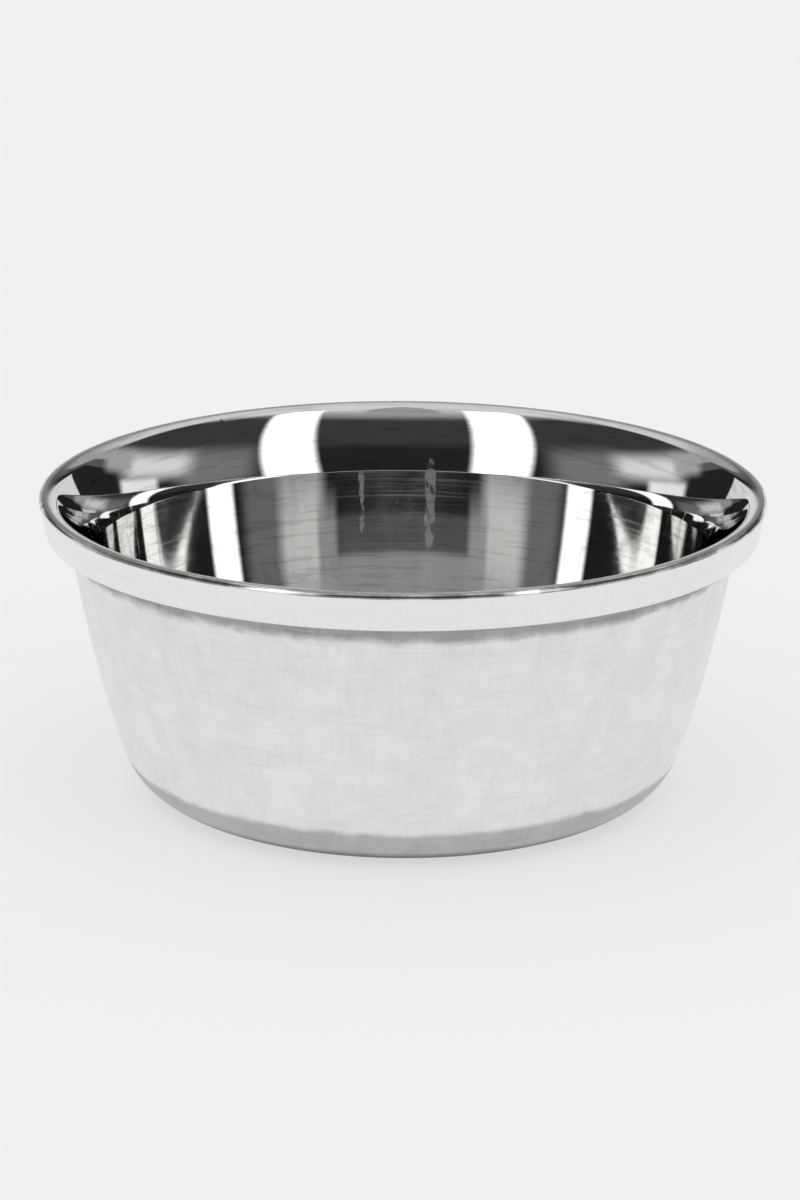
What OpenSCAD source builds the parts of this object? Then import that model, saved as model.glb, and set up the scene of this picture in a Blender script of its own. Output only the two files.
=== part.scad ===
// Shaving bowl, double skinned, in pressed steel sheet.
// A mirror-polished inner bowl carries the rim. Above a fine crease its side flares
// into a rolled lip, and the lip's edge is folded down into a flat-sided band. The
// band is crimped over a collar turned up at the mouth of the satin outer shell, and
// that crimp is the joint.
// Origin: centre of the base, on the surface the bowl stands on. +Z is up.

/* [Rim] */
// Diameter across the rim, at the top of the band
rim_d = 100; // [96:1:120]
// Height of the rim above the surface the bowl stands on
bowl_h = 42; // [42:1:50]
// Height of the folded band
band_h = 5; // [4.5:0.5:6]
// Inward lean of the band in degrees, left by the crimp
band_lean = 11.5; // [8:0.5:13]
// Radius of the band's top outer edge
edge_r = 0.5; // [0.5:0.1:0.8]

/* [Inner bowl] */
// Thickness of the inner bowl's sheet
inner_t = 0.5; // [0.4:0.05:0.5]
// Radius of the lip's crown, seen from the mouth
lip_r = 2.2; // [2:0.1:2.4]
// Radius of the flare between the lip and the side
flare_r = 18; // [17.5:0.1:18.5]
// Radius of the long curve of the inner side
inner_side_r = 156; // [150:1:170]
// Radius of the curve between the inner side and the floor
bottom_r = 12; // [10:0.5:17]
// Height of the floor's top face
floor_h = 4; // [3.5:0.1:4.5]

/* [Outer shell] */
// Thickness of the outer shell's sheet
outer_t = 0.5; // [0.4:0.05:0.5]
// Radius of the long curve of the side
side_r = 190; // [185:1:195]
// Radius of the shorter curve below it
belly_r = 48; // [44:1:50]
// Radius of the heel, where the side turns under
heel_r = 8.5; // [8:0.1:9]
// Radius of the recessed middle of the base
recess_r = 22; // [16:1:24]
// Depth of the recess in the base
recess_h = 0.5; // [0.3:0.1:0.6]

/* [Hidden] */

$fn = 180;
arc_steps = 12;
rim_r = rim_d / 2;
band_z = bowl_h - band_h;

// Lean of the outer side in degrees at the neck, the belly and the heel
neck_lean = 9.5;
belly_lean = 16.5;
heel_lean = 22;

// Distance of the lip's crown from the rim
crown_in = 0.9;
// Lean of the inner bowl in degrees: at the flare's top and foot, and at the side's top and foot
mouth_lean = 40;
flare_lean = 10.5;
side_lean = 7.5;
foot_lean = 13;
// Length by which both curves stop short of the crease, on the back of the sheet
crease_ease = 0.15;
// Distance of the outer side from the rim, at the band's lower edge
neck_in = 3.9;
// Radius of the bend from the side into the shoulder under the band
neck_bend = 0.6;
// Inside radius of the bend from the shoulder up into the collar
collar_bend = 0.2;
// Space between the collar's top edge and the lip's underside
collar_gap = 0.3;

// Unit vector at an angle, in the plane of radius and height
function dir(a) = [cos(a), sin(a)];

// Points along an arc about a centre, from one angle to another
function arc(centre, r, from, to) =
    [for (i = [0 : arc_steps]) centre + r * dir(from + (to - from) * i / arc_steps)];

// Point at a given height on a line through a point, leaning outwards going up
function on_lean(point, lean, z) = [point.x + (z - point.y) * tan(lean), z];

// ---- Inner bowl: centres of its curves, from the rim down to the floor ----
lip_c = [rim_r - crown_in, bowl_h - lip_r];
flare_c = lip_c + (lip_r - flare_r) * dir(180 - mouth_lean);
crease = flare_c + flare_r * dir(180 - flare_lean);
inner_side_c = crease - inner_side_r * dir(-side_lean);
inner_foot = inner_side_c + inner_side_r * dir(-foot_lean);
bottom_start = on_lean(inner_foot, foot_lean, floor_h + bottom_r * (1 - sin(foot_lean)));
bottom_c = bottom_start - bottom_r * dir(-foot_lean);

// ---- Band: its top edge, and the line where band and collar meet ----
edge_c = [rim_r - edge_r, bowl_h - edge_r];
band_top = edge_c + edge_r * dir(-band_lean);
fold_face = band_top - inner_t * dir(-band_lean);

// ---- Outer shell: centres of its curves, from the collar down to the base ----
collar_r = collar_bend + outer_t;
collar_edge = on_lean(fold_face - collar_r * dir(-band_lean), band_lean, band_z + collar_r);
neck = [rim_r - neck_in, band_z];
neck_c = on_lean(neck + neck_bend * dir(-neck_lean), neck_lean, band_z - neck_bend);
belly_drop = belly_r * (sin(heel_lean) - sin(belly_lean));
side_drop = side_r * (sin(belly_lean) - sin(neck_lean));
heel_top_z = heel_r * (1 - sin(heel_lean));
side_start = on_lean(neck, neck_lean, heel_top_z + belly_drop + side_drop);
side_c = side_start - side_r * dir(-neck_lean);
belly_c = side_c + (side_r - belly_r) * dir(-belly_lean);
heel_c = [(belly_c + (belly_r - heel_r) * dir(-heel_lean)).x, heel_r];

// Inner bowl, one pressing: floor, side, flare, lip and folded band
module inner_bowl() {
    // angles by which the flare and the side stop short of the crease, on the back
    flare_ease = crease_ease / flare_r * 180 / PI;
    side_ease = crease_ease / inner_side_r * 180 / PI;
    mouth_face = concat(
        [[0, floor_h]],
        arc(bottom_c, bottom_r, -90, -foot_lean),
        arc(inner_side_c, inner_side_r, -foot_lean, -side_lean),
        arc(flare_c, flare_r, 180 - flare_lean, 180 - mouth_lean),
        arc(lip_c, lip_r, 180 - mouth_lean, 90)
    );
    band_face = concat(
        arc(edge_c, edge_r, 90, -band_lean),
        [on_lean(band_top, band_lean, band_z)]
    );
    back_face = concat(
        [on_lean(fold_face, band_lean, band_z)],
        [on_lean(fold_face, band_lean, bowl_h - inner_t)],
        arc(lip_c, lip_r - inner_t, 90, 180 - mouth_lean),
        arc(flare_c, flare_r - inner_t, 180 - mouth_lean, 180 - flare_lean - flare_ease),
        arc(inner_side_c, inner_side_r + inner_t, -side_lean - side_ease, -foot_lean),
        arc(bottom_c, bottom_r + inner_t, -foot_lean, -90),
        [[0, floor_h - inner_t]]
    );
    color("gainsboro")
        rotate_extrude() polygon(concat(mouth_face, band_face, back_face));
}

// Outer shell, one pressing: recessed base, heel, side, shoulder and collar
module outer_shell() {
    collar_z = bowl_h - inner_t - collar_gap;
    collar_face = fold_face - outer_t * dir(-band_lean);
    show_face = concat(
        [[0, recess_h], [recess_r, recess_h], [recess_r + recess_h, 0]],
        arc(heel_c, heel_r, -90, -heel_lean),
        arc(belly_c, belly_r, -heel_lean, -belly_lean),
        arc(side_c, side_r, -belly_lean, -neck_lean),
        arc(neck_c, neck_bend, 180 - neck_lean, 90),
        arc(collar_edge, collar_r, -90, -band_lean),
        [on_lean(fold_face, band_lean, collar_z)]
    );
    hidden_face = concat(
        [on_lean(collar_face, band_lean, collar_z)],
        arc(collar_edge, collar_bend, -band_lean, -90),
        arc(neck_c, neck_bend + outer_t, 90, 180 - neck_lean),
        arc(side_c, side_r - outer_t, -neck_lean, -belly_lean),
        arc(belly_c, belly_r - outer_t, -belly_lean, -heel_lean),
        arc(heel_c, heel_r - outer_t, -heel_lean, -90),
        [[recess_r + recess_h, outer_t], [recess_r, outer_t + recess_h], [0, outer_t + recess_h]]
    );
    color("silver")
        rotate_extrude() polygon(concat(show_face, hidden_face));
}

inner_bowl();
outer_shell();
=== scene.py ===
# %% [markdown]
# # A double-skinned steel shaving bowl
# Two thin pressings make this bowl. The inner one is polished like a mirror and
# carries the rim; the outer one has a satin skin. This notebook loads the packed
# model, spins both pressings again as finer meshes, gives each side of the sheet
# its own finish, and sets up the camera and a small studio round the bowl.

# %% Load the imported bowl
import math

import bpy
import numpy as np
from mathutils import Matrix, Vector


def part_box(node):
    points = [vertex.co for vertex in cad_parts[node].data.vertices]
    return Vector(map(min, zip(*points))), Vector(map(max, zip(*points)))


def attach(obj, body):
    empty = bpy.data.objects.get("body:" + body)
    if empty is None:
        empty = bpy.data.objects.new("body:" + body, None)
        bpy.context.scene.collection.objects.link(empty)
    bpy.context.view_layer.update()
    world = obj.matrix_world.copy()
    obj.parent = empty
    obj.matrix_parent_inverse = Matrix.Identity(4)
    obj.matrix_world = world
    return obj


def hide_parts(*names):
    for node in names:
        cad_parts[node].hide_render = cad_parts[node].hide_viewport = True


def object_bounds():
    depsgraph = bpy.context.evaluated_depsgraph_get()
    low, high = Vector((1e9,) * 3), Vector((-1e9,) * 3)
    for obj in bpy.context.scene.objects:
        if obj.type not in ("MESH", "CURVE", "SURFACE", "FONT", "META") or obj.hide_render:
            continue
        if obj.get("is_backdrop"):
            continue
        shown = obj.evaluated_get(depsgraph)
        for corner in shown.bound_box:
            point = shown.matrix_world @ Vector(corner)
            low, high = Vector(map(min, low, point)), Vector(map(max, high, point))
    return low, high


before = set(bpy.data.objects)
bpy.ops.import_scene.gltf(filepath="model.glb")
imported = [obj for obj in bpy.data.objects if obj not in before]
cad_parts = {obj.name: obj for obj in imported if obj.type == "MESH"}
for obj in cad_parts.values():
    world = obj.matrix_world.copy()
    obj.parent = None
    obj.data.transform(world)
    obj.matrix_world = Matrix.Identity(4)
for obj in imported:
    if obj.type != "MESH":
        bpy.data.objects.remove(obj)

cad_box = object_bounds()
rim_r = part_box("inner_bowl")[1].x
bowl_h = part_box("inner_bowl")[1].z
MM = 0.001
print(f"rim {2 * rim_r / MM:.1f} mm across, {bowl_h / MM:.1f} mm high")

# %% [markdown]
# ## Drawing the section of a pressing
# Every face of this bowl is turned, so half of its section says everything. A
# section could be drawn as a curve and spun with the Screw modifier. A polished
# inside shows the smallest flat spot, though, and here we want to say how many
# points each bend gets. So a section is a list of points. Bends are arcs with points
# from a third of a degree to eight degrees apart, and straight runs have their points
# crowded towards both ends, so that smooth shading stays true where they meet a bend.

# %% Arcs and straights
def sine(degrees):
    return math.sin(math.radians(degrees))


def heading(degrees):
    """Unit vector in the plane of radius and height."""
    return np.array([math.cos(math.radians(degrees)), sine(degrees)])


def arc(centre, radius, start, end, step=1.5):
    """Points along a bend, from one angle to another, in degrees."""
    count = max(2, math.ceil(abs(end - start) / step))
    return [centre + radius * heading(a) for a in np.linspace(start, end, count + 1)]


def straight(start, end, count=9):
    """Points along a straight run, closer together towards its ends."""
    shares = (1 - np.cos(np.linspace(0, math.pi, count + 1))) / 2
    return [np.asarray(start) + s * (np.asarray(end) - np.asarray(start)) for s in shares]


def on_lean(point, lean, height):
    """Where a line through a point, leaning outwards going up, reaches a height."""
    return np.array([point[0] + (height - point[1]) * math.tan(math.radians(lean)), height])


print("a quarter bend of 2 mm has", len(arc(np.zeros(2), 2 * MM, 0, 90)), "points")

# %% [markdown]
# ## Sizes of the two pressings
# The sheet is half a millimetre thick. The lip rolls over a radius of 2.2 mm, and
# its edge is folded down into a band 5 mm tall. The leans are in degrees from
# upright. Inside and out, the side leans more at its foot than higher up, and inside
# the flare then opens it out again.

# %% Sizes shared by both pressings
sheet = 0.5 * MM
band_h = 5 * MM
band_lean = 11.5
band_z = bowl_h - band_h
edge_r = 0.5 * MM
edge_c = np.array([rim_r - edge_r, bowl_h - edge_r])
band_top = edge_c + edge_r * heading(-band_lean)
band_foot = on_lean(band_top, band_lean, band_z)
fold_face = band_top - sheet * heading(-band_lean)
fold_foot = on_lean(fold_face, band_lean, band_z)
print(f"the band's lower edge is {band_foot[0] / MM:.2f} mm out")

# %% [markdown]
# ## The inner bowl's section
# From the middle of the floor the sheet runs out flat, bends up through a 12 mm
# curve into a long, very slightly hollow side, and meets the flare at a crease of
# three degrees, which only polished steel would show. The flare runs into the lip.
# Outside the lip the sheet turns a small sharp corner and comes down as the band.
# The back face follows one sheet thickness away, with its curves stopping 0.15 mm
# short of the crease so that they don't cross. On the front two points sit 0.04 mm
# from the crease, which keeps smooth shading from rounding it. Each run is kept
# under the name of its face, because the faces don't share one finish.

# %% Inner bowl: bend centres and faces
floor_z = 4 * MM
bottom_r, side_r, flare_r, lip_r = 12 * MM, 156 * MM, 18 * MM, 2.2 * MM
foot_lean, side_lean, flare_lean, mouth_lean = 13, 7.5, 10.5, 40
crown_in = 0.9 * MM
back_ease, front_ease = 0.15 * MM, 0.04 * MM

lip_c = np.array([rim_r - crown_in, bowl_h - lip_r])
flare_c = lip_c + (lip_r - flare_r) * heading(180 - mouth_lean)
crease = flare_c + flare_r * heading(180 - flare_lean)
side_c = crease - side_r * heading(-side_lean)
side_foot = side_c + side_r * heading(-foot_lean)
bottom_z = floor_z + bottom_r * (1 - sine(foot_lean))
bottom_top = on_lean(side_foot, foot_lean, bottom_z)
bottom_c = bottom_top - bottom_r * heading(-foot_lean)


def inner_face(depth, step):
    """The inside of the bowl, or a face that far behind it, from the axis to the crown."""
    ease = back_ease if depth else front_ease
    side_ease, flare_ease = math.degrees(ease / side_r), math.degrees(ease / flare_r)
    return (
        straight([0, floor_z - depth], [bottom_c[0], floor_z - depth], 12)
        + arc(bottom_c, bottom_r + depth, -90, -foot_lean, 2 * step)
        + straight(bottom_c + (bottom_r + depth) * heading(-foot_lean),
                   side_c + (side_r + depth) * heading(-foot_lean), 6)
        + arc(side_c, side_r + depth, -foot_lean, -side_lean - side_ease, step / 3)
        + ([] if depth else [crease])
        + arc(flare_c, flare_r - depth, 180 - flare_lean - flare_ease, 180 - mouth_lean, step)
        + arc(lip_c, lip_r - depth, 180 - mouth_lean, 90, 2.5 * step)
    )


inner_faces = {
    "mirror": inner_face(0, 1)
    + straight([lip_c[0], bowl_h], [edge_c[0], bowl_h], 4)
    + arc(edge_c, edge_r, 90, -band_lean, 8),
    "band": straight(band_top, band_foot),
    "back": straight(band_foot, fold_foot, 2)
    + straight(fold_foot, on_lean(fold_face, band_lean, bowl_h - sheet), 4)
    + inner_face(sheet, 3)[::-1],
}
print({face: len(points) for face, points in inner_faces.items()}, "points")

# %% [markdown]
# ## The outer shell's section
# The shell stands on a flat ring round a shallow recess, turns up through a tight
# heel, and goes on to the band in two long curves. Under the band it turns out
# into a narrow shoulder and up into a collar, which the folded band grips.

# %% Outer shell: bend centres and faces
neck_lean, belly_lean, heel_lean = 9.5, 16.5, 22
long_r, belly_r, heel_r, neck_r = 190 * MM, 48 * MM, 8.5 * MM, 0.6 * MM
collar_in, collar_gap, neck_in = 0.2 * MM, 0.3 * MM, 3.9 * MM
collar_out = collar_in + sheet
collar_z = bowl_h - sheet - collar_gap
recess_r, recess_z = 22 * MM, 0.5 * MM

collar_foot = fold_face - collar_out * heading(-band_lean)
collar_c = on_lean(collar_foot, band_lean, band_z + collar_out)
neck = np.array([rim_r - neck_in, band_z])
neck_c = on_lean(neck + neck_r * heading(-neck_lean), neck_lean, band_z - neck_r)
long_end_z = (
    heel_r * (1 - sine(heel_lean))
    + belly_r * (sine(heel_lean) - sine(belly_lean))
    + long_r * (sine(belly_lean) - sine(neck_lean))
)
long_c = on_lean(neck, neck_lean, long_end_z) - long_r * heading(-neck_lean)
belly_c = long_c + (long_r - belly_r) * heading(-belly_lean)
heel_c = belly_c + (belly_r - heel_r) * heading(-heel_lean)
heel_c[1] = heel_r


def shell_side(depth, step):
    """The shell's side, or a face that far inside it, from the standing ring to the shoulder."""
    return (
        arc(heel_c, heel_r - depth, -90, -heel_lean, 2 * step)
        + arc(belly_c, belly_r - depth, -heel_lean, -belly_lean, step / 2)
        + arc(long_c, long_r - depth, -belly_lean, -neck_lean, step / 3)
        + straight(long_c + (long_r - depth) * heading(-neck_lean),
                   neck_c + (neck_r + depth) * heading(180 - neck_lean), 6)
        + arc(neck_c, neck_r + depth, 180 - neck_lean, 90, 8)
    )


def shell_base(depth):
    """The recessed base, or a face that far above it, from the axis to the heel."""
    ring_r = recess_r + recess_z
    return (
        straight([0, recess_z + depth], [recess_r, recess_z + depth], 6)
        + straight([recess_r, recess_z + depth], [ring_r, depth], 3)
        + straight([ring_r, depth], [heel_c[0], depth], 6)
    )


collar_top = on_lean(fold_face, band_lean, collar_z)
collar_back = on_lean(fold_face - sheet * heading(-band_lean), band_lean, collar_z)
collar_run = arc(collar_c, collar_out, -90, -band_lean, 8) + straight(
    collar_c + collar_out * heading(-band_lean), collar_top, 4
)
shell_faces = {
    "satin": shell_base(0) + shell_side(0, 1.5),
    "back": straight([neck_c[0], band_z], [collar_c[0], band_z], 2)
    + collar_run
    + straight(collar_top, collar_back, 2)
    + straight(collar_back, collar_c + collar_in * heading(-band_lean), 4)
    + arc(collar_c, collar_in, -band_lean, -90, 8)
    + shell_side(sheet, 3)[::-1]
    + shell_base(sheet)[::-1],
}
print({face: len(points) for face, points in shell_faces.items()}, "points")

# %% [markdown]
# ## Spinning a section into a mesh
# The section is turned about the bowl's axis into rings of faces. The ends on the
# axis become one point each, with a fan of triangles. 384 steps round the rim
# leave its outline true to two thousandths of a millimetre. A section that runs
# clockwise would come out inside out, so its faces are flipped. Smooth shading
# runs over the bends, and edges sharper than 40 degrees stay crisp.

# %% Spin a section
steps_round = 384
crisp_angle = math.radians(40)
same_point = 0.001 * MM


def join(faces):
    """Join the faces' points into one outline, and note which face each belongs to."""
    outline, finish_at = [], []
    for slot, points in enumerate(faces.values()):
        for point in points:
            if not outline or np.linalg.norm(point - outline[-1]) > same_point:
                outline.append(point)
                finish_at.append(slot)
    return outline, finish_at


def is_clockwise(outline):
    """Whether an outline of radii and heights runs clockwise, by the sign of its area."""
    radii, heights = np.array(outline).T
    return np.sum(radii * np.roll(heights, -1) - heights * np.roll(radii, -1)) < 0


def spin(name, faces, steps=steps_round):
    """Turn the faces' outline, which starts and ends on the axis, into a closed mesh."""
    outline, finish_at = join(faces)
    rings = np.array(outline[1:-1])
    turns = np.linspace(0, 2 * math.pi, steps, endpoint=False)
    circle = np.stack([np.cos(turns), np.sin(turns)], axis=1)
    points = [
        np.column_stack([radius * circle, np.full(steps, height)]) for radius, height in rings
    ]
    ends = np.array([[0, 0, outline[0][1]], [0, 0, outline[-1][1]]])
    first_end, last_end = len(rings) * steps, len(rings) * steps + 1
    polygons, slots = [], []
    for ring in range(len(rings) - 1):
        low, high = ring * steps, (ring + 1) * steps
        for turn in range(steps):
            after = (turn + 1) % steps
            polygons.append((low + turn, low + after, high + after, high + turn))
            slots.append(finish_at[ring + 2])
    top = (len(rings) - 1) * steps
    for turn in range(steps):
        after = (turn + 1) % steps
        polygons.append((first_end, after, turn))
        slots.append(finish_at[1])
        polygons.append((last_end, top + turn, top + after))
        slots.append(finish_at[-1])
    mesh = bpy.data.meshes.new(name)
    mesh.from_pydata(np.vstack(points + [ends]).tolist(), [], polygons)
    if is_clockwise(outline):
        mesh.flip_normals()
    mesh.polygons.foreach_set("material_index", slots)
    mesh.polygons.foreach_set("use_smooth", [True] * len(polygons))
    mesh.set_sharp_from_angle(angle=crisp_angle)
    mesh.update()
    piece = bpy.data.objects.new(name, mesh)
    bpy.context.scene.collection.objects.link(piece)
    print(name, len(mesh.vertices), "points,", len(polygons), "faces, valid:", not mesh.validate())
    return piece


inner = spin("inner_bowl_pressing", inner_faces)
shell = spin("outer_shell_pressing", shell_faces)

# %% [markdown]
# ## Small helpers for node trees
# A finish is a node tree, and wiring one by hand takes a lot of lines. `put` adds
# a node, sets what is asked and fills its sockets in order with numbers or links.
# `weigh` adds up masks by their shares, `largest` picks the strongest, and `group`
# starts a node group with named sockets.

# %% Node helpers
def put(tree, kind, *fill, **settings):
    """Add a node. Each of fill goes to the next input socket: a link, a value, or None to skip."""
    node = tree.nodes.new("ShaderNode" + kind)
    for name, value in settings.items():
        setattr(node, name, value)
    for socket, value in zip(node.inputs, fill):
        if isinstance(value, bpy.types.NodeSocket):
            tree.links.new(value, socket)
        elif value is not None:
            socket.default_value = value
    return node


def sums(tree, operation, *fill):
    return put(tree, "Math", *fill, operation=operation).outputs[0]


def blend(tree, low, high, value, result_low=0.0, result_high=1.0):
    """Run smoothly from one result to the other while a value goes from low to high."""
    node = put(tree, "MapRange", value, low, high, result_low, result_high,
               interpolation_type="SMOOTHSTEP")
    return node.outputs[0]


def weigh(tree, *parts):
    """Add up some masks, each times its own share."""
    total = None
    for mask, share in parts:
        part = sums(tree, "MULTIPLY", mask, share)
        total = part if total is None else sums(tree, "ADD", total, part)
    return total


def largest(tree, first, *others):
    """The largest of some values."""
    for other in others:
        first = sums(tree, "MAXIMUM", first, other)
    return first


def group(name, inputs, outputs):
    """Start a node group. Returns its tree, its input sockets and its output node."""
    tree = bpy.data.node_groups.new(name, "ShaderNodeTree")
    for label, value in inputs.items():
        socket = tree.interface.new_socket(label, in_out="INPUT", socket_type="NodeSocketFloat")
        socket.default_value = value
    for label in outputs:
        tree.interface.new_socket(label, in_out="OUTPUT", socket_type="NodeSocketFloat")
    entry = tree.nodes.new("NodeGroupInput")
    return tree, entry.outputs, tree.nodes.new("NodeGroupOutput")


def place(tree, effect, **values):
    """Put a finished effect into a material with its own values."""
    node = tree.nodes.new("ShaderNodeGroup")
    node.node_tree = effect
    for label, value in values.items():
        socket = node.inputs[label.replace("_", " ").capitalize()]
        if isinstance(value, bpy.types.NodeSocket):
            tree.links.new(value, socket)
        else:
            socket.default_value = value
    return node.outputs


def turned_place(tree):
    """Place on the bowl, in mm: x, y, height, radius, and the run along the section."""
    at = put(tree, "TexCoord").outputs["Object"]
    at = put(tree, "VectorMath", at, (1 / MM, 1 / MM, 1 / MM), operation="MULTIPLY").outputs[0]
    x, y, z = put(tree, "SeparateXYZ", at).outputs
    radius = sums(tree, "SQRT", weigh(tree, (x, x), (y, y)))
    return x, y, z, radius, sums(tree, "ADD", radius, z)


print("helpers ready")

# %% [markdown]
# ## Turning lines
# Spinning and polishing leave fine lines that run round the bowl. A noise squashed
# flat gives them: it changes quickly along the section and hardly at all round it.
# Radius plus height grows steadily along every face of this bowl, so that one sum
# serves as the run of the section and no UV map is needed.

# %% Effect: turning lines
turning_lines, given, made = group(
    "Turning Lines", {"Per mm": 4.0, "Breaks": 0.03, "Coarse": 0.5}, ["Height", "Mask"]
)
broad_to_fine = 0.12
x, y, z, radius, run = turned_place(turning_lines)


def lines_at(tree, density, detail):
    across = sums(tree, "MULTIPLY", run, density)
    along = given["Breaks"]
    flat = put(tree, "CombineXYZ", sums(tree, "MULTIPLY", x, along),
               sums(tree, "MULTIPLY", y, along), across).outputs[0]
    return put(tree, "TexNoise", flat, None, 1.0, detail, 0.6).outputs["Fac"]


fine = lines_at(turning_lines, given["Per mm"], 4.0)
broad_per_mm = sums(turning_lines, "MULTIPLY", given["Per mm"], broad_to_fine)
broad = lines_at(turning_lines, broad_per_mm, 1.0)
share = sums(turning_lines, "SUBTRACT", 1.0, given["Coarse"])
height = weigh(turning_lines, (fine, share), (broad, given["Coarse"]))
turning_lines.links.new(height, made.inputs["Height"])
turning_lines.links.new(blend(turning_lines, 0.5, 0.68, fine), made.inputs["Mask"])
print(turning_lines.name, "gives", [s.name for s in made.inputs if s.name])

# %% [markdown]
# ## Rubbing lines
# The outside was also rubbed up and down, in short strokes. This is the same kind
# of noise, squashed the other way: it changes quickly round the bowl and slowly
# along the section. Dividing x and y by the radius keeps the strokes upright.

# %% Effect: rubbing lines
rubbing_lines, given, made = group(
    "Rubbing Lines", {"Per mm": 2.0, "Length mm": 4.0}, ["Mask"]
)
shell_top_r = 46.0
x, y, z, radius, run = turned_place(rubbing_lines)
girth = sums(rubbing_lines, "MULTIPLY", given["Per mm"], shell_top_r)
upright = put(
    rubbing_lines, "CombineXYZ",
    sums(rubbing_lines, "MULTIPLY", sums(rubbing_lines, "DIVIDE", x, radius), girth),
    sums(rubbing_lines, "MULTIPLY", sums(rubbing_lines, "DIVIDE", y, radius), girth),
    sums(rubbing_lines, "DIVIDE", run, given["Length mm"]),
).outputs[0]
strokes = put(rubbing_lines, "TexNoise", upright, None, 1.0, 3.0, 0.6).outputs["Fac"]
rubbing_lines.links.new(blend(rubbing_lines, 0.45, 0.72, strokes), made.inputs["Mask"])
print(rubbing_lines.name, "ready")

# %% [markdown]
# ## Hairline scratches
# Handling adds hairlines that cross the turning lines. Each set is a noise that is
# stretched out long and sliced to its sharp crests, and a second, broader noise
# breaks it into short lengths. Three sets at different slants look random.

# %% Effect: hairline scratches
hairlines, given, made = group(
    "Hairline Scratches", {"Per mm": 2.0, "Amount": 0.5}, ["Mask"]
)
slants = (8, -34, 71)
crest_width = 0.012
at = put(hairlines, "TexCoord").outputs["Object"]
sets = []
for number, slant in enumerate(slants):
    turned = put(hairlines, "VectorRotate", at, None, (0.3, 1, 0.1), math.radians(slant)).outputs[0]
    stretched = put(hairlines, "VectorMath", turned, (0.02 / MM, 0.02 / MM, 1 / MM),
                    operation="MULTIPLY").outputs[0]
    stretched = put(hairlines, "VectorMath", stretched, (7.3 * number, 3.1, 1.7),
                    operation="ADD").outputs[0]
    crests = put(hairlines, "TexNoise", stretched, None, given["Per mm"], 1.0, 0.5).outputs["Fac"]
    lengths = put(hairlines, "TexNoise", turned, None, 0.12 / MM, 1.0, 0.5).outputs["Fac"]
    from_crest = sums(hairlines, "ABSOLUTE", sums(hairlines, "SUBTRACT", crests, 0.5))
    line = blend(hairlines, 0.0, crest_width, from_crest, 1.0, 0.0)
    sets.append(sums(hairlines, "MULTIPLY", line, blend(hairlines, 0.5, 0.62, lengths)))
all_sets = sums(hairlines, "MULTIPLY", largest(hairlines, *sets), given["Amount"])
hairlines.links.new(all_sets, made.inputs["Mask"])
print(hairlines.name, "has", len(slants), "slants")

# %% [markdown]
# ## Hand haze
# Steel that has been held is never equally clean. A soft cloudy noise, a few
# millimetres across, makes some patches a touch duller than others.

# %% Effect: hand haze
hand_haze, given, made = group("Hand Haze", {"Patch mm": 6.0, "Contrast": 0.5}, ["Haze"])
at = put(hand_haze, "TexCoord").outputs["Object"]
scale = sums(hand_haze, "DIVIDE", 1 / MM, given["Patch mm"])
cloud = put(hand_haze, "TexNoise", at, None, scale, 5.0, 0.62, None, None, None, 0.4).outputs["Fac"]
spread = sums(hand_haze, "MULTIPLY", sums(hand_haze, "SUBTRACT", cloud, 0.5), given["Contrast"])
haze = put(hand_haze, "Math", spread, 0.5, operation="ADD", use_clamp=True).outputs[0]
hand_haze.links.new(haze, made.inputs["Haze"])
print(hand_haze.name, "ready")

# %% [markdown]
# ## Dried drips
# Water that ran down the polished side has dried in narrow streaks below the lip.
# A drip is a narrow range of turn and a range of height, and a noise frays it. Its
# film scatters light, so it shows pale where the steel reflects something dark.

# %% Effect: dried drip
dried_drip, given, made = group(
    "Dried Drip", {"Turn": 90.0, "Width mm": 1.0, "Bottom": 25.0, "Top": 35.0}, ["Mask"]
)
tail_mm, head_mm = 6.0, 1.5
fray_round, fray_down = 1.6, 0.35
x, y, z, radius, run = turned_place(dried_drip)
turn = sums(dried_drip, "DEGREES", sums(dried_drip, "ARCTAN2", y, x))
angle = sums(dried_drip, "RADIANS", sums(dried_drip, "SUBTRACT", turn, given["Turn"]))
aside = sums(dried_drip, "MULTIPLY", sums(dried_drip, "ABSOLUTE", angle), radius)
fray_at = put(dried_drip, "CombineXYZ", sums(dried_drip, "MULTIPLY", x, fray_round),
              sums(dried_drip, "MULTIPLY", y, fray_round),
              sums(dried_drip, "MULTIPLY", z, fray_down))
fray = put(dried_drip, "TexNoise", fray_at.outputs[0], None, 1.0, 4.0, 0.6).outputs["Fac"]
narrow = blend(dried_drip, 0.0, given["Width mm"], aside, 1.0, 0.0)
tail = blend(dried_drip, given["Bottom"], sums(dried_drip, "ADD", given["Bottom"], tail_mm), z)
head_start = sums(dried_drip, "SUBTRACT", given["Top"], head_mm)
head = blend(dried_drip, head_start, given["Top"], z, 1.0, 0.0)
drip = sums(dried_drip, "MULTIPLY", narrow, sums(dried_drip, "MULTIPLY", tail, head))
drip = sums(dried_drip, "MULTIPLY", drip, blend(dried_drip, 0.4, 0.62, fray, 0.1, 1.0))
dried_drip.links.new(drip, made.inputs["Mask"])
print(dried_drip.name, "ready")
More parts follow.
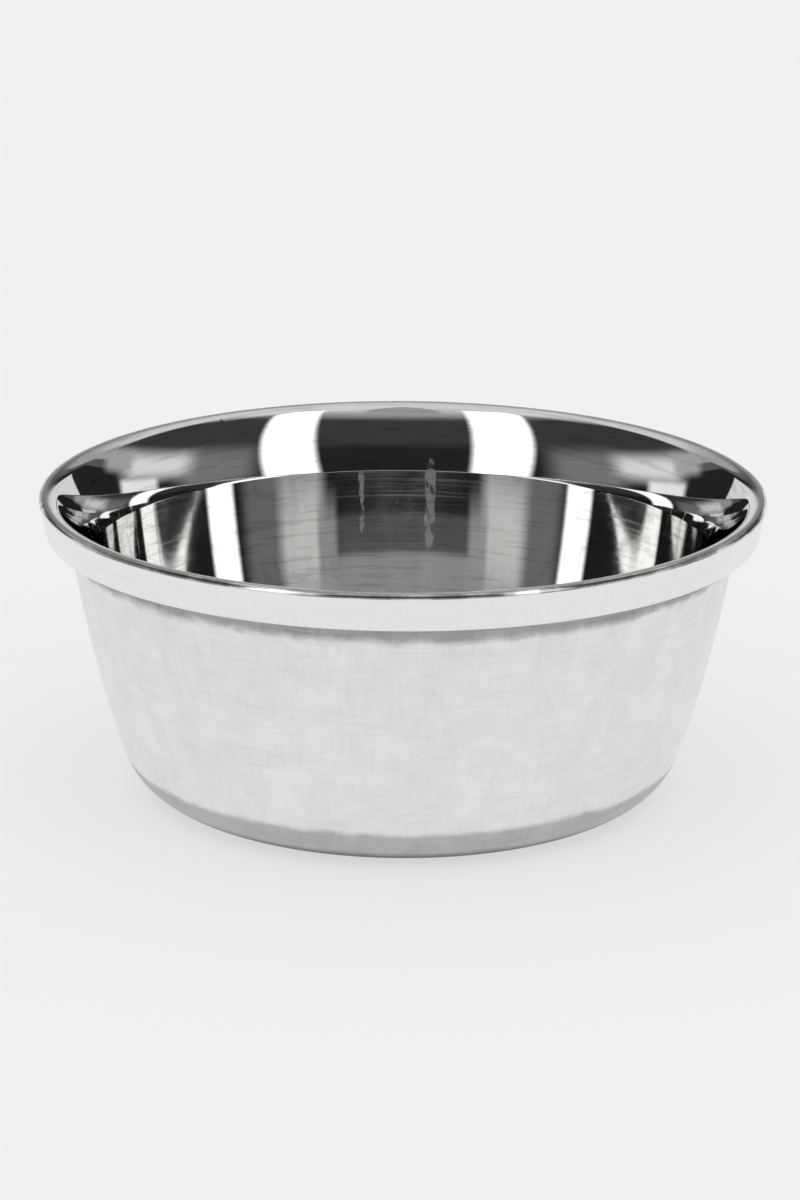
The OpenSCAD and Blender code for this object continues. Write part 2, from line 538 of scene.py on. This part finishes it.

# %% [markdown]
# ## Rings of painted shade and residue
# Shade is painted in rings where little light reaches: under the band, where polish,
# soap and hard water also dry where a cloth doesn't reach, and round the heel, where
# the steel reflects the shadowed table. A ring is a stretch of height with a soft edge
# below and above. A noise lifts and lowers its edges.

# %% Effect: ring of painted shade and residue
shade_and_residue_ring, given, made = group(
    "Shade And Residue Ring", {"Bottom": 0.0, "Top": 1.0, "Edge": 0.3, "Wander": 0.5}, ["Mask"]
)
drift_round, drift_up = 0.16, 0.3
x, y, z, radius, run = turned_place(shade_and_residue_ring)
low_noise = put(shade_and_residue_ring, "CombineXYZ", sums(shade_and_residue_ring, "MULTIPLY", x, drift_round),
                sums(shade_and_residue_ring, "MULTIPLY", y, drift_round),
                sums(shade_and_residue_ring, "MULTIPLY", z, drift_up))
wander = put(shade_and_residue_ring, "TexNoise", low_noise.outputs[0], None, 1.0, 5.0, 0.65).outputs["Fac"]
shift = sums(shade_and_residue_ring, "MULTIPLY", sums(shade_and_residue_ring, "SUBTRACT", wander, 0.5), given["Wander"])
moved = sums(shade_and_residue_ring, "ADD", z, shift)
low_end = sums(shade_and_residue_ring, "SUBTRACT", given["Bottom"], given["Edge"])
high_end = sums(shade_and_residue_ring, "ADD", given["Top"], given["Edge"])
above = blend(shade_and_residue_ring, low_end, given["Bottom"], moved)
below = blend(shade_and_residue_ring, given["Top"], high_end, moved, 1.0, 0.0)
shade_and_residue_ring.links.new(sums(shade_and_residue_ring, "MULTIPLY", above, below), made.inputs["Mask"])
print(shade_and_residue_ring.name, "ready")

# %% [markdown]
# ## Specks
# A few pinholes and dried drops dot the steel. Voronoi cells each hold one point;
# a cell's own random colour decides whether its point shows and how large it is.

# %% Effect: specks
specks, given, made = group("Specks", {"Cell mm": 4.0, "Size": 0.06, "Share": 0.2}, ["Mask"])
at = put(specks, "TexCoord").outputs["Object"]
cells = put(specks, "TexVoronoi", at, None, sums(specks, "DIVIDE", 1 / MM, given["Cell mm"]))
lottery = put(specks, "SeparateColor", cells.outputs["Color"]).outputs
wins = sums(specks, "LESS_THAN", lottery[0], given["Share"])
size = sums(specks, "MULTIPLY", given["Size"], sums(specks, "ADD", lottery[1], 0.35))
solid_to = sums(specks, "MULTIPLY", size, 0.6)
dot = blend(specks, solid_to, size, cells.outputs["Distance"], 1.0, 0.0)
specks.links.new(sums(specks, "MULTIPLY", dot, wins), made.inputs["Mask"])
print(specks.name, "ready")

# %% [markdown]
# ## Steel
# All faces are the same bare steel, so every material starts from one recipe: a
# fully metallic Principled BSDF. What tells the faces apart is how rough they are
# and what lies on them.

# %% Start a steel material
def steel(name, display):
    material = bpy.data.materials.new(name)
    material.use_nodes = True
    material.diffuse_color = (*display, 1)
    shader = material.node_tree.nodes["Principled BSDF"]
    shader.inputs["Metallic"].default_value = 1.0
    return material, material.node_tree, shader


def tint(tree, mask, clean, marked):
    """A colour that goes from clean to marked as the mask goes from 0 to 1."""
    mix = put(tree, "Mix", mask, data_type="RGBA")
    mix.inputs["A"].default_value = (*clean, 1)
    mix.inputs["B"].default_value = (*marked, 1)
    return mix.outputs["Result"]


def relief(tree, height, strength, depth):
    """A Bump node for marks of that depth in metres."""
    return put(tree, "Bump", strength, depth, None, height).outputs[0]


print("steel recipe ready")

# %% [markdown]
# ## Mirror polish, for the inside and the lip
# A buffed inside reflects the room almost cleanly. It still keeps soft rings from
# the spinning tool and hairlines from brushes and cloths, so the relief is tiny and
# the roughness moves between nearly none and a faint blur. The rings also smear
# reflections across themselves more than along, which is what Anisotropic is for.
# The lip is worn duller, and a broken dark line painted along the rim's outer corner
# stands for the dark room that the corner reflects.

# %% Material: mirror polish
mirror_steel, tree, shader = steel("mirror_polished_inside", (0.7, 0.7, 0.7))
shader.inputs["Anisotropic"].default_value = 0.9
shader.inputs["Anisotropic Rotation"].default_value = 0.25
# the dark colour serves the real marks and also the painted dark reflection in the rim's corner
buffed, tarnish_and_dark_reflection = (0.80, 0.80, 0.79), (0.30, 0.29, 0.28)
lip_inner_r, lip_crown_r = 47.2, 48.8
corner_start_r, corner_end_r = 49.45, 49.65
radius = turned_place(tree)[3]
rings = place(tree, turning_lines, per_mm=2.5, breaks=0.02, coarse=0.6)
streaks = place(tree, turning_lines, per_mm=1.3, breaks=0.12, coarse=0.5)["Mask"]
scratch = place(tree, hairlines, per_mm=1.5, amount=0.35)["Mask"]
haze = place(tree, hand_haze, patch_mm=9.0, contrast=0.9)["Haze"]
dots = place(tree, specks, cell_mm=9.0, size=0.06, share=0.2)["Mask"]
thin_drip = place(tree, dried_drip, turn=98.2, width_mm=0.6, bottom=22.0, top=33.5)["Mask"]
wide_drip = place(tree, dried_drip, turn=84.6, width_mm=1.1, bottom=20.0, top=35.5)["Mask"]

# what darkens the polish: wiping streaks, hairlines, specks, and a painted dark reflection along
# the rim's outer corner
cloudy = blend(tree, 0.2, 0.8, haze, 0.2, 0.0)
wiped = sums(tree, "ADD", weigh(tree, (streaks, 0.32), (scratch, 0.1)), cloudy)
# painted reflection: a dark line round the rim's outer corner, broken up by the haze, stands for
# the dark room it faces
in_corner = blend(tree, corner_start_r, corner_end_r, radius)
painted_corner_reflection = sums(tree, "MULTIPLY", in_corner, blend(tree, 0.4, 0.6, haze, 1.0, 0.1))
marks = largest(tree, wiped, dots, painted_corner_reflection)
tree.links.new(tint(tree, marks, buffed, tarnish_and_dark_reflection), shader.inputs["Base Color"])

# what blurs it: fine rings and hairlines, the worn lip and the dried drips
clean_blur = blend(tree, 0.2, 0.8, haze, 0.015, 0.035)
line_blur = sums(tree, "ADD", clean_blur, weigh(tree, (rings["Mask"], 0.025), (scratch, 0.04)))
lip_blur = sums(tree, "MULTIPLY", blend(tree, lip_inner_r, lip_crown_r, radius), 0.2)
drip_blur = sums(tree, "MULTIPLY", largest(tree, thin_drip, wide_drip), 0.36)
tree.links.new(largest(tree, line_blur, lip_blur, drip_blur), shader.inputs["Roughness"])
tree.links.new(relief(tree, rings["Height"], 0.1, 0.0012 * MM), shader.inputs["Normal"])
print(mirror_steel.name, len(tree.nodes), "nodes")

# %% [markdown]
# ## Satin, for the band
# The outside was brushed with a fine abrasive, which breaks reflections into a pale
# sheen. Marks this fine would need millions of faces, so noise lays them into the
# colour and into a very shallow relief, and a cloudy noise moves the roughness. The
# band came out the cleaner of the two.

# %% Material: satin band
satin_band, tree, shader = steel("satin_band", (0.8, 0.8, 0.8))
brushed_bright, brushed_dark = (0.88, 0.88, 0.88), (0.35, 0.34, 0.33)
lines = place(tree, turning_lines, per_mm=2.0, breaks=0.05, coarse=0.4)
strokes = place(tree, rubbing_lines, per_mm=2.0, length_mm=2.0)["Mask"]
haze = place(tree, hand_haze, patch_mm=5.0, contrast=0.8)["Haze"]
dots = place(tree, specks, cell_mm=7.0, size=0.05, share=0.25)["Mask"]
marks = largest(tree, weigh(tree, (lines["Mask"], 0.06), (strokes, 0.06)), dots)
tree.links.new(tint(tree, marks, brushed_bright, brushed_dark), shader.inputs["Base Color"])
tree.links.new(blend(tree, 0.1, 0.9, haze, 0.22, 0.34), shader.inputs["Roughness"])
tree.links.new(relief(tree, lines["Height"], 0.2, 0.002 * MM), shader.inputs["Normal"])
print(satin_band.name, len(tree.nodes), "nodes")

# %% [markdown]
# ## Satin, for the shell
# The shell was rubbed both ways and is handled more. Shade is painted into its colour
# under the band, where it is mixed with dried residue, round the heel, along the foot
# and a little towards the top. Every kind of mark is a mask of its own, and the masks
# are added up by their shares, so that one can be changed without touching the others.

# %% Material: satin shell
satin_shell, tree, shader = steel("satin_shell", (0.75, 0.75, 0.75))
# the dark colour serves the real marks and also the painted shade under the band, round the heel
# and along the foot
rubbed_bright, grime_and_shade_dark = (0.92, 0.92, 0.915), (0.20, 0.195, 0.185)
height = turned_place(tree)[2]
lines = place(tree, turning_lines, per_mm=2.5, breaks=0.12, coarse=0.25)
strokes = place(tree, rubbing_lines, per_mm=1.8, length_mm=5.0)["Mask"]
scratch = place(tree, hairlines, per_mm=3.0, amount=0.8)["Mask"]
haze = place(tree, hand_haze, patch_mm=5.0, contrast=1.0)["Haze"]
dots = place(tree, specks, cell_mm=6.0, size=0.06, share=0.25)["Mask"]
# painted shade under the band's overhang, mixed with dried residue
under_band_shade_and_residue = place(tree, shade_and_residue_ring, bottom=35.2, top=38.0, edge=1.6, wander=2.6)["Mask"]
# painted shade round the heel, standing for the shadowed table that the heel reflects
painted_heel_shade = place(tree, shade_and_residue_ring, bottom=-3.0, top=5.0, edge=1.2, wander=1.8)["Mask"]

# painted shade: the ring under the band, mixed with residue, the ring round the heel,
# and a dark line where the bowl meets the table
painted_foot_shade = blend(tree, 0.3, 2.6, height, 0.8, 0.0)
painted_shade_and_residue = sums(tree, "ADD", weigh(tree, (under_band_shade_and_residue, 0.58), (painted_heel_shade, 0.46)), painted_foot_shade)
# the rubbing both ways, over a skin that is cloudy, with painted shade that makes it a little
# darker towards the top
rubbed = weigh(tree, (lines["Mask"], 0.06), (strokes, 0.05), (scratch, 0.06))
# painted shade: the colour darkens from 10 mm up to 36 mm
painted_top_shade = blend(tree, 10.0, 36.0, height, 0.0, 0.07)
top_shade_and_mottle = sums(tree, "ADD", painted_top_shade, blend(tree, 0.25, 0.75, haze, 0.13, 0.0))
marks = sums(tree, "ADD", sums(tree, "ADD", painted_shade_and_residue, rubbed), top_shade_and_mottle)
marks = sums(tree, "MINIMUM", largest(tree, marks, dots), 1.0)
tree.links.new(tint(tree, marks, rubbed_bright, grime_and_shade_dark), shader.inputs["Base Color"])
shade_and_residue_blur = sums(tree, "MULTIPLY", painted_shade_and_residue, 0.2)
rough = sums(tree, "ADD", blend(tree, 0.1, 0.9, haze, 0.27, 0.40), shade_and_residue_blur)
tree.links.new(rough, shader.inputs["Roughness"])
tree.links.new(relief(tree, lines["Height"], 0.3, 0.004 * MM), shader.inputs["Normal"])
print(satin_shell.name, len(tree.nodes), "nodes")

# %% [markdown]
# ## Mill finish, for the hidden faces
# The faces between the two skins were never polished. They keep the grey, slightly
# grained skin that the sheet left the rolling mill with.

# %% Material: mill finish
mill_steel, tree, shader = steel("mill_finish", (0.5, 0.5, 0.5))
pale_mill, dark_mill = (0.62, 0.62, 0.61), (0.46, 0.46, 0.45)
grain = place(tree, turning_lines, per_mm=2.0, breaks=0.4, coarse=0.3)
haze = place(tree, hand_haze, patch_mm=3.0, contrast=0.8)["Haze"]
tree.links.new(tint(tree, haze, pale_mill, dark_mill), shader.inputs["Base Color"])
tree.links.new(blend(tree, 0.1, 0.9, haze, 0.38, 0.55), shader.inputs["Roughness"])
tree.links.new(relief(tree, grain["Height"], 0.5, 0.01 * MM), shader.inputs["Normal"])
print(mill_steel.name, len(tree.nodes), "nodes")

# %% [markdown]
# ## Dressing the pressings
# Each pressing takes one material slot for each of its faces, in the order of its
# section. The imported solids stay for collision, and the finer meshes stand for them.

# %% Assign finishes and tie the pieces to the frame
finishes = {
    inner: ("inner_bowl", "mirror_steel", [mirror_steel, satin_band, mill_steel]),
    shell: ("outer_shell", "satin_steel", [satin_shell, mill_steel]),
}
for piece, (solid, slot, materials) in finishes.items():
    for material in materials:
        piece.data.materials.append(material)
    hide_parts(solid)
    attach(piece, "root")
    print(piece.name, "stands for", solid)

# %% [markdown]
# ## The camera
# A long lens from only a little above the bowl keeps the rim's ellipse shallow. The
# camera stands eleven rim radii in front of the bowl and looks down by 17 degrees,
# with the smallest tilt to one side.

# %% Camera
camera_data = bpy.data.cameras.new("camera")
camera = bpy.data.objects.new("camera", camera_data)
bpy.context.scene.collection.objects.link(camera)
camera_data.lens = 124.74
camera_data.sensor_width = 36
aside, in_front, above = 0.0066 * rim_r, 11.042 * rim_r, 3.902 * rim_r
look_down, lean = math.radians(17.017), math.radians(0.323)
camera.location = (-aside, -in_front, above)
camera.rotation_mode = "XYZ"
camera.rotation_euler = (math.pi / 2 - look_down, 0, 0)
bpy.context.view_layer.update()
camera.matrix_world = camera.matrix_world @ camera.matrix_world.Rotation(lean, 4, "Z")
bpy.context.scene.camera = camera
print("camera", [round(v, 4) for v in camera.matrix_world.translation])

# %% [markdown]
# ## The table
# The bowl stands on a plain pale table, wide enough to fill the view. It is a disc
# whose top is level with the bowl's base. It glows a little, as a light table does,
# so that the bowl's shadow stays faint.

# %% Table
table_r, table_sides = 60 * rim_r, 96
table_grey, table_glow = 0.25, 0.60
table_mesh = bpy.data.meshes.new("table")
turns = np.linspace(0, 2 * math.pi, table_sides, endpoint=False)
table_mesh.from_pydata([(table_r * math.cos(t), table_r * math.sin(t), 0) for t in turns], [],
                       [tuple(range(len(turns)))])
table = bpy.data.objects.new("table", table_mesh)
bpy.context.scene.collection.objects.link(table)
table_paint = bpy.data.materials.new("pale_table")
table_paint.use_nodes = True
paint = table_paint.node_tree.nodes["Principled BSDF"]
paint.inputs["Base Color"].default_value = (table_grey, table_grey, table_grey, 1)
paint.inputs["Emission Color"].default_value = (1, 1, 1, 1)
paint.inputs["Emission Strength"].default_value = table_glow
paint.inputs["Roughness"].default_value = 0.9
paint.inputs["Specular IOR Level"].default_value = 0.0
table_mesh.materials.append(table_paint)
table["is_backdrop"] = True
print("table", round(table_r, 2), "m in radius")

# %% [markdown]
# ## The studio
# Polished steel has no look of its own: it shows the room. This room is dark on the
# camera's side, but for two tall soft boxes that give the inside its white columns.
# The side walls are grey, with a soft pale strip further back. The back wall goes from
# dark grey to nearly white in three steps. Low pale screens stand aside and behind,
# and the ceiling is lit. Cards and lamps would get in the way when the bowl is seen
# from behind, so the room is painted on the sky instead, as soft-edged patches, by
# direction. Matt surfaces see an even white sky instead, which stands for light
# bouncing round the room.

# %% A soft-edged patch of light on the sky
patch, given, made = group(
    "Patch Of Light",
    {"Azimuth": 0, "Elevation": 0, "Near": 20, "Near lean": 0, "Far": 50, "Far lean": 0,
     "Bottom": 0, "Top": 60, "Edge": 3},
    ["Mask"],
)
steepest = 75.0


def fade_past(tree, value, limit, edge):
    """0 before the limit, 1 past it, with a soft edge centred on it."""
    half = sums(tree, "MULTIPLY", edge, 0.5)
    return blend(tree, sums(tree, "SUBTRACT", limit, half), sums(tree, "ADD", limit, half), value)


def leaning(tree, limit, lean, elevation):
    """A side edge that moves out as it goes up, as a tilted panel's edge does, up to steepest."""
    bounded = sums(tree, "MINIMUM", elevation, steepest)
    rise = sums(tree, "TANGENT", sums(tree, "RADIANS", bounded))
    return sums(tree, "ADD", limit, sums(tree, "MULTIPLY", lean, rise))


near = leaning(patch, given["Near"], given["Near lean"], given["Elevation"])
far = leaning(patch, given["Far"], given["Far lean"], given["Elevation"])
inside = fade_past(patch, given["Azimuth"], near, given["Edge"])
outside = fade_past(patch, given["Azimuth"], far, given["Edge"])
above = fade_past(patch, given["Elevation"], given["Bottom"], given["Edge"])
over = fade_past(patch, given["Elevation"], given["Top"], given["Edge"])
across = sums(patch, "SUBTRACT", inside, outside)
upward = sums(patch, "SUBTRACT", above, over)
patch.links.new(sums(patch, "MULTIPLY", across, upward), made.inputs["Mask"])
print(patch.name, "ready")

# %% [markdown]
# ## Directions in the room
# A world shader knows the direction of every ray that reaches the sky. A picture of a
# room could be wrapped round it, but two angles are enough to say where a wall or a
# lamp begins and ends. Elevation is the angle above the horizon. Azimuth is the turn
# from the camera's side: 0 towards the camera and 180 behind the bowl.

# %% Directions in the room
room = bpy.data.worlds.new("room")
bpy.context.scene.world = room
room.use_nodes = True
tree = room.node_tree
tree.nodes.clear()
x, y, z = put(tree, "SeparateXYZ", put(tree, "TexCoord").outputs["Generated"]).outputs
elevation = sums(tree, "DEGREES", sums(tree, "ARCSINE", z))
towards_camera = sums(tree, "MULTIPLY", y, -1.0)
azimuth = sums(tree, "DEGREES", sums(tree, "ARCTAN2", x, towards_camera))
sides = {
    "left": sums(tree, "MULTIPLY", azimuth, -1.0),
    "right": azimuth,
    "both": sums(tree, "ABSOLUTE", azimuth),
}

# %% [markdown]
# ## What stands in the room
# Every patch is one row of a table, so a wall or a lamp moves when one number does.
# The rows go over one another like coats of paint, and a later one hides what is
# under it. Angles are in degrees. A lean is how far a side edge has moved out at an
# elevation of 45.

# %% What stands in the room
patches = [
    # side, near, near lean, far, far lean, bottom, top, edge, brightness
    ("both", -10, 0, 132, 0, 30, 100, 10, 0.05),    # upper half of the dark room
    ("both", 58, 0, 90, 0, 3, 30, 14, 0.22),        # grey side walls
    ("both", -10, 0, 190, 0, 57, 100, 8, 0.40),     # ceiling
    ("both", 20, 0, 190, 0, 63, 100, 8, 0.80),      # ceiling light
    ("both", 126, 0, 190, 0, 19.2, 62, 0.8, 0.12),  # back wall, foot
    ("both", 126, 0, 190, 0, 23.2, 62, 0.8, 0.42),  # back wall, middle
    ("both", 126, 0, 190, 0, 36, 62, 14, 0.80),     # back wall, top
    ("both", 87, 0, 120, 0, 13.5, 28, 12, 0.85),    # pale strip along both side walls
    ("both", 116, 0, 130, 0, 18, 30, 6, 0.45),      # pale corners of the back wall
    ("both", 102, 0, 122, 0, 0, 13, 4, 1.00),       # low pale screens at both sides
    ("both", 150, 0, 190, 0, -95, 14.5, 1, 0.80),   # low pale screen behind
    ("both", -10, 0, 190, 0, -95, 1.5, 3, 0.90),    # table top, out to the horizon
    ("left", 25.5, 4, 47, 8, 2, 68, 5, 2.2),        # left soft box
    ("right", 31, 7, 51.5, 8.5, 2, 68, 5, 2.2),     # right soft box
]


def lighten(level, mask, brightness):
    """Bring the room's level to a brightness where the mask is 1."""
    missing = sums(tree, "SUBTRACT", brightness, level)
    return sums(tree, "ADD", level, sums(tree, "MULTIPLY", mask, missing))


dark_room, even_sky = 0.02, 1.07
level = dark_room
for side, near, near_lean, far, far_lean, bottom, top, edge, brightness in patches:
    mask = place(tree, patch, azimuth=sides[side], elevation=elevation, near=near,
                 near_lean=near_lean, far=far, far_lean=far_lean, bottom=bottom, top=top,
                 edge=edge)["Mask"]
    level = lighten(level, mask, brightness)
matt_ray = put(tree, "LightPath").outputs["Is Diffuse Ray"]
level = lighten(level, matt_ray, even_sky)
room_light = put(tree, "Background", level)
tree.links.new(room_light.outputs[0], put(tree, "OutputWorld").inputs["Surface"])
view = bpy.context.scene.view_settings
view.view_transform = "Standard"
view.look = "None"
print("room", len(tree.nodes), "nodes")

# %% [markdown]
# ## Sizes
# The box round the imported solids and the box round the finished scene are printed
# together, where they can be compared.

# %% Print the sizes and finish
size = {
    "cad": [list(corner) for corner in cad_box],
    "visual": [list(corner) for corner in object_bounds()],
}
print(size)
